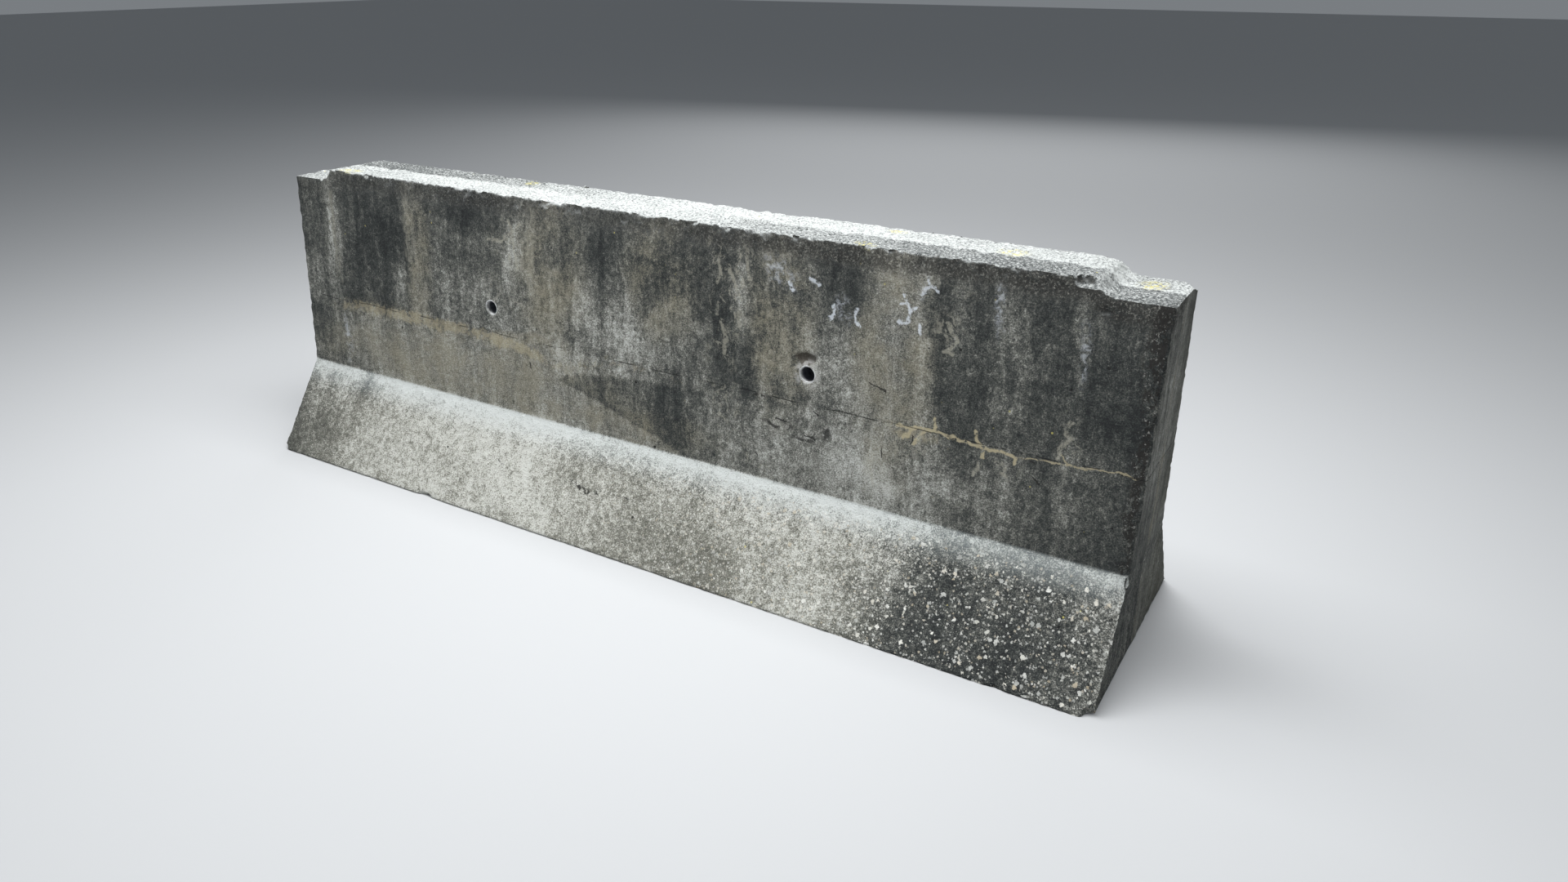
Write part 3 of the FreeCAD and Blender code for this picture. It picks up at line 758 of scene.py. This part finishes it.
# Painted highlight: the rounded top edges, picked out by how far they face upward, are made paler still, as if
# catching the light from above.
top_edge_painted_highlight = paint.both(paint.step(facing_up, 0.25, 0.50), paint.step(facing_up, 0.97, 0.80))
bare = paint.plus(bare, top_edge_painted_highlight, -0.30)
top_colour = paint.ramp(bare, TOP_TONES)
colour = paint.blend(on_top, colour, top_colour)
ragged = paint.move("ADD", paint.place, paint.move("MULTIPLY", wobble, (0.3, 0.3, 0.3)))
spots = [paint.patch(ragged, (x, y, 0.8), (rx, ry, 0.1), 0.5) for x, y, rx, ry in LICHEN_PLACES]
lichen = paint.both(paint.either(*spots), on_top,
                    paint.step(paint.noise(paint.place, 120.0, 3.0, 0.6), 0.46, 0.58))
dots = paint.cells(paint.place, 34.0)
dots_lot = paint.add("ShaderNodeSeparateColor", {0: paint.cells(paint.place, 34.0, "Color")})
dots = paint.both(paint.step(dots, 0.10, 0.06), paint.step(dots_lot, 0.86, 0.88),
                  paint.either(paint.step(along, 0.75, 0.95),
                               paint.step(paint.noise(paint.place, 3.0, 2.0), 0.50, 0.60)))
colour = paint.coat(colour, paint.either(lichen, dots), 0.7, LICHEN)

# Just under the top edge the worn arris is black and pitted.
RIM_SOOT = (0.034, 0.033, 0.030, 1)
RIM_SPECK = (0.34, 0.34, 0.30, 1)
RIM_HEIGHT = [(-1.22, 0.780), (-1.10, 0.780), (-1.06, 0.810), (1.06, 0.810), (1.10, 0.780), (1.22, 0.780)]
RIM_SHARE = [(-1.22, 0.3), (-0.90, 0.6), (-0.40, 0.8), (-0.30, 0.5), (0.10, 0.7), (0.40, 1.0), (1.22, 1.0)]
rim_height = paint.profile(along, RIM_HEIGHT)
below_rim = paint.calc("SUBTRACT", rim_height, ragged_height)
rim = paint.both(paint.step(below_rim, 0.062, 0.032), paint.rest(on_top), paint.profile(along, RIM_SHARE))
rim_grain = paint.step(paint.noise(paint.place, 95.0, 4.0, 0.75), 0.36, 0.52)
colour = paint.coat(colour, paint.both(rim, rim_grain), 0.82, RIM_SOOT)
rim_specks = paint.step(paint.noise(paint.place, 210.0, 4.0, 0.75), 0.52, 0.66)
colour = paint.coat(colour, paint.both(rim, rim_specks), 0.70, RIM_SPECK)

# The upright arris at the right end is broken into a row of dark pits and pale chips.
CORNER_PIT = (0.024, 0.022, 0.020, 1)
CORNER_CHIP = (0.42, 0.42, 0.39, 1)
corner = paint.both(paint.step(drawn_along, END - 0.034, END - 0.020),
                    paint.step(along, END - 0.004, END - 0.010), off_toe, paint.rest(on_top))
corner_pits = paint.noise(paint.move("MULTIPLY", paint.place, (1.0, 1.0, 0.6)), 80.0, 4.0, 0.75)
corner_pits = paint.step(corner_pits, 0.45, 0.52)
corner_chips = paint.step(paint.noise(paint.place, 150.0, 3.0, 0.7), 0.60, 0.66)
colour = paint.coat(colour, paint.both(corner, corner_pits), 0.85, CORNER_PIT)
colour = paint.coat(colour, paint.both(corner, corner_chips), 0.7, CORNER_CHIP)

# Bug holes, short cracks and scabs in the stem, broken pits in the toe, and the grime and grout round the
# lifting holes.
CRACK = (0.012, 0.012, 0.012, 1)
GRIME = (0.055, 0.045, 0.036, 1)
GROUT = (0.62, 0.62, 0.60, 1)
SCABS = [
    (0.41, 0.395, 0.035, 0.006), (0.47, 0.375, 0.03, 0.004), (0.52, 0.40, 0.012, 0.018),
    (0.36, 0.452, 0.02, 0.003), (1.00, 0.402, 0.006, 0.006),
]
TOE_PITS = [
    (-0.115, 0.116, 0.030, 0.005), (-0.065, 0.114, 0.022, 0.007), (0.030, 0.119, 0.026, 0.004),
    (-0.40, 0.128, 0.012, 0.003),
]
SPLITS = [
    [(0.631, 0.521), (0.650, 0.517), (0.666, 0.508)],
    [(0.478, 0.371), (0.492, 0.372), (0.500, 0.362)],
    [(0.500, 0.428), (0.508, 0.422)],
    [(0.670, 0.380), (0.668, 0.362)],
    [(1.000, 0.395), (1.012, 0.387)],
    [(-0.345, 0.385), (-0.344, 0.368)],
    [(0.735, 0.425), (0.729, 0.408)],
    [(0.400, 0.398), (0.430, 0.392)],
    [(0.350, 0.300), (0.356, 0.292)],
]
bugs = paint.cells(paint.place, 17.0)
bugs_lot = paint.add("ShaderNodeSeparateColor", {0: paint.cells(paint.place, 17.0, "Color")})
bug_size = paint.times(paint.step(bugs_lot, 0.55, 1.0), 0.075)
bugs = paint.both(paint.step(paint.calc("SUBTRACT", bug_size, bugs), 0.0, 0.02), paint.rest(on_top))
splits = paint.both(paint.strokes(traced, SPLITS, 0.0028), off_toe)
scabs = paint.both(paint.patches(drawn, SCABS, 0.6), off_toe,
                   paint.step(paint.noise(paint.place, 60.0), 0.42, 0.52))
toe_pits = paint.both(paint.patches(drawn, TOE_PITS, 0.6), on_toe,
                      paint.step(paint.noise(paint.place, 70.0), 0.46, 0.54))
colour = paint.coat(colour, paint.either(joint, splits, scabs, toe_pits, bugs), 0.85, CRACK)
hole_ring = paint.patch(flat, (HOLE_X, 0, HOLE_HEIGHT), (0.031, 1, 0.031), 0.25)
spall = paint.patch(traced, (HOLE_X - 0.006, 0, HOLE_HEIGHT + 0.034), (0.027, 1, 0.015), 0.20)
grout = paint.both(hole_ring, paint.step(paint.noise(paint.place, 70.0, 4.0, 0.6), 0.42, 0.58), off_toe)
colour = paint.coat(colour, paint.both(spall, front), 0.8, GRIME)
colour = paint.coat(colour, grout, 0.65, GROUT)

# The skin's own relief, in metres: grain and mottle all over, stones out of the toe, grit on the top, and the
# pits, joint and bug holes sunk in.
skin = paint.plus(paint.times(mottle, 0.0040), grain, 0.0022)
skin = paint.plus(skin, paint.both(big, on_toe), 0.0022)
skin = paint.plus(skin, paint.both(small, on_toe), 0.0012)
skin = paint.plus(skin, paint.both(on_top, grit_grain), 0.0045)
skin = paint.plus(skin, paint.both(paint.step(height, HEIGHT - 0.060, HEIGHT - 0.030), rim_grain), -0.0020)
skin = paint.plus(skin, paint.both(paint.step(along, END - 0.030, END - 0.015), corner_pits), -0.0030)
skin = paint.plus(skin, paint.either(joint, bugs), -0.0030)
skin_bump = paint.bump(skin, 0.9, 1.0)
paint.surface("Base Color", colour)
paint.surface("Normal", skin_bump)
paint.surface("Roughness", paint.plus(0.96, dark, -0.16))
paint.surface("Specular IOR Level", 0.28)
casting.data.materials.clear()
casting.data.materials.append(paint.material)

# ---- Lifting sleeves ----
# Two lengths of grey plastic pipe, cast in across the stem. Their ends are flush with the concrete, bleached
# and chalky, and the bores are grimed.
pipe = Finish("bleached_pipe")
pipe_cloud = pipe.noise(pipe.place, 60.0, 5.0, 0.65)
pipe_split = pipe.add("ShaderNodeSeparateXYZ", {0: pipe.place})
mouth = pipe.step(pipe.calc("ABSOLUTE", pipe_split.node.outputs["Y"]), 0.098, 0.112)
pipe_grey = pipe.blend(pipe.step(pipe_cloud, 0.40, 0.62), (0.085, 0.095, 0.115, 1), (0.030, 0.034, 0.042, 1))
pipe_chalk = pipe.blend(pipe.step(pipe_cloud, 0.44, 0.64), (0.72, 0.73, 0.73, 1), (0.30, 0.30, 0.29, 1))
pipe_colour = pipe.blend(mouth, pipe_grey, pipe_chalk)
pipe_bump = pipe.bump(pipe.noise(pipe.place, 300.0, 4.0, 0.6), 0.5, 0.0006)
pipe.surface("Base Color", pipe_colour)
pipe.surface("Normal", pipe_bump)
pipe.surface("Roughness", 0.62)


def give(names, finish):
    """Gives a finish to CAD nodes whose shape is kept."""
    for name in names:
        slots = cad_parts[name].data.materials
        slots.clear()
        slots.append(finish.material)


give(("lifting_sleeve_left", "lifting_sleeve_right"), pipe)

# ---- Bars and stirrups ----
# Hot-rolled ribbed bar, straight along the barrier and bent into stirrups. It has a blue-black mill scale
# with light rust, and its ribs are a few millimetres apart.
bar = Finish("scaled_bar")
bar_rust = bar.step(bar.noise(bar.place, 38.0, 6.0, 0.7), 0.42, 0.62)
bar_colour = bar.blend(bar_rust, (0.050, 0.052, 0.058, 1), (0.210, 0.085, 0.034, 1))
bar_fine = bar.noise(bar.place, 240.0, 4.0, 0.7)
bar_colour = bar.coat(bar_colour, bar.step(bar_fine, 0.5, 0.7), 0.5, (0.120, 0.048, 0.022, 1))
rib_inputs = {"Vector": bar.place, "Scale": 38.0, "Distortion": 0.6, "Detail": 1.0}
ribs = bar.add("ShaderNodeTexWave", rib_inputs, out="Fac", wave_type="BANDS", bands_direction="DIAGONAL")
bar_height = bar.plus(bar.times(bar.step(ribs, 0.6, 0.85), 0.0010), bar_fine, 0.0004)
bar_bump = bar.bump(bar_height, 1.0, 1.0)
bar.surface("Base Color", bar_colour)
bar.surface("Normal", bar_bump)
bar.surface("Roughness", bar.between(bar_rust, 0.45, 0.85))
bar.surface("Metallic", bar.between(bar_rust, 0.85, 0.10))
give([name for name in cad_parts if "_bar_" in name or name.startswith("stirrup_")], bar)

# ---- Cover spacers ----
# Moulded grey plastic wheels, clipped on the stirrup legs to keep the cage off the mould. The plastic is
# matt, with faint flow marks and dust from the mix.
wheel = Finish("spacer_plastic")
wheel_flow = wheel.noise(wheel.place, 90.0, 4.0, 0.6, 1.5)
wheel_dust = wheel.step(wheel.noise(wheel.place, 30.0, 6.0, 0.7), 0.50, 0.70)
wheel_colour = wheel.blend(wheel_flow, (0.120, 0.124, 0.130, 1), (0.185, 0.190, 0.196, 1))
wheel_colour = wheel.coat(wheel_colour, wheel_dust, 0.6, (0.40, 0.39, 0.36, 1))
wheel_bump = wheel.bump(wheel_flow, 0.4, 0.0005)
wheel.surface("Base Color", wheel_colour)
wheel.surface("Normal", wheel_bump)
wheel.surface("Roughness", 0.55)
give(("cover_spacers_front", "cover_spacers_back"), wheel)

# ---- Floor, light and camera ----
# A plain pale floor, one broad soft lamp overhead, as under an open sky, a weak fill from the front and a wide
# wash from behind, so that the back is seen as well. Each lamp is (name, place, width, depth, power in watts).
bpy.ops.mesh.primitive_plane_add(size=60, location=(0, 0, 0))
floor = bpy.context.object
floor.name = "floor"
ground = Finish("pale_floor")
ground.surface("Base Color", (0.44, 0.45, 0.46, 1))
ground.surface("Roughness", 0.9)
floor.data.materials.append(ground.material)

bpy.context.scene.view_settings.view_transform = "Standard"
LAMPS = (
    ("overhead", (0.0, -0.15, 3.2), 3.6, 2.0, 225.0),
    ("front_fill", (1.6, -4.2, 1.6), 2.5, 2.0, 18.0),
    ("back_wash", (-1.5, 6.5, 3.5), 6.0, 4.0, 150.0),
)
LAMP_TARGET = (0, 0, 0.4)
for name, place, lamp_width, lamp_depth, power in LAMPS:
    lamp = bpy.data.lights.new(name, "AREA")
    lamp.shape = "RECTANGLE"
    lamp.size = lamp_width
    lamp.size_y = lamp_depth
    lamp.energy = power
    holder = bpy.data.objects.new(name, lamp)
    holder.location = place
    holder.rotation_euler = (Vector(LAMP_TARGET) - Vector(place)).to_track_quat("-Z", "Y").to_euler()
    bpy.context.scene.collection.objects.link(holder)
world = bpy.data.worlds.new("soft_room")
world.use_nodes = True
world.node_tree.nodes["Background"].inputs["Color"].default_value = (0.80, 0.86, 0.92, 1)
world.node_tree.nodes["Background"].inputs["Strength"].default_value = 0.24
bpy.context.scene.world = world

CAMERA_PLACE = (1.5544, -2.0153, 1.3464)
CAMERA_TURN = (math.radians(65.4925), 0, math.radians(30.922))
camera = bpy.data.objects.new("camera", bpy.data.cameras.new("camera"))
camera.data.lens = 24.444
camera.data.sensor_width = 36
camera.location = CAMERA_PLACE
camera.rotation_euler = CAMERA_TURN
bpy.context.scene.collection.objects.link(camera)
bpy.context.scene.camera = camera
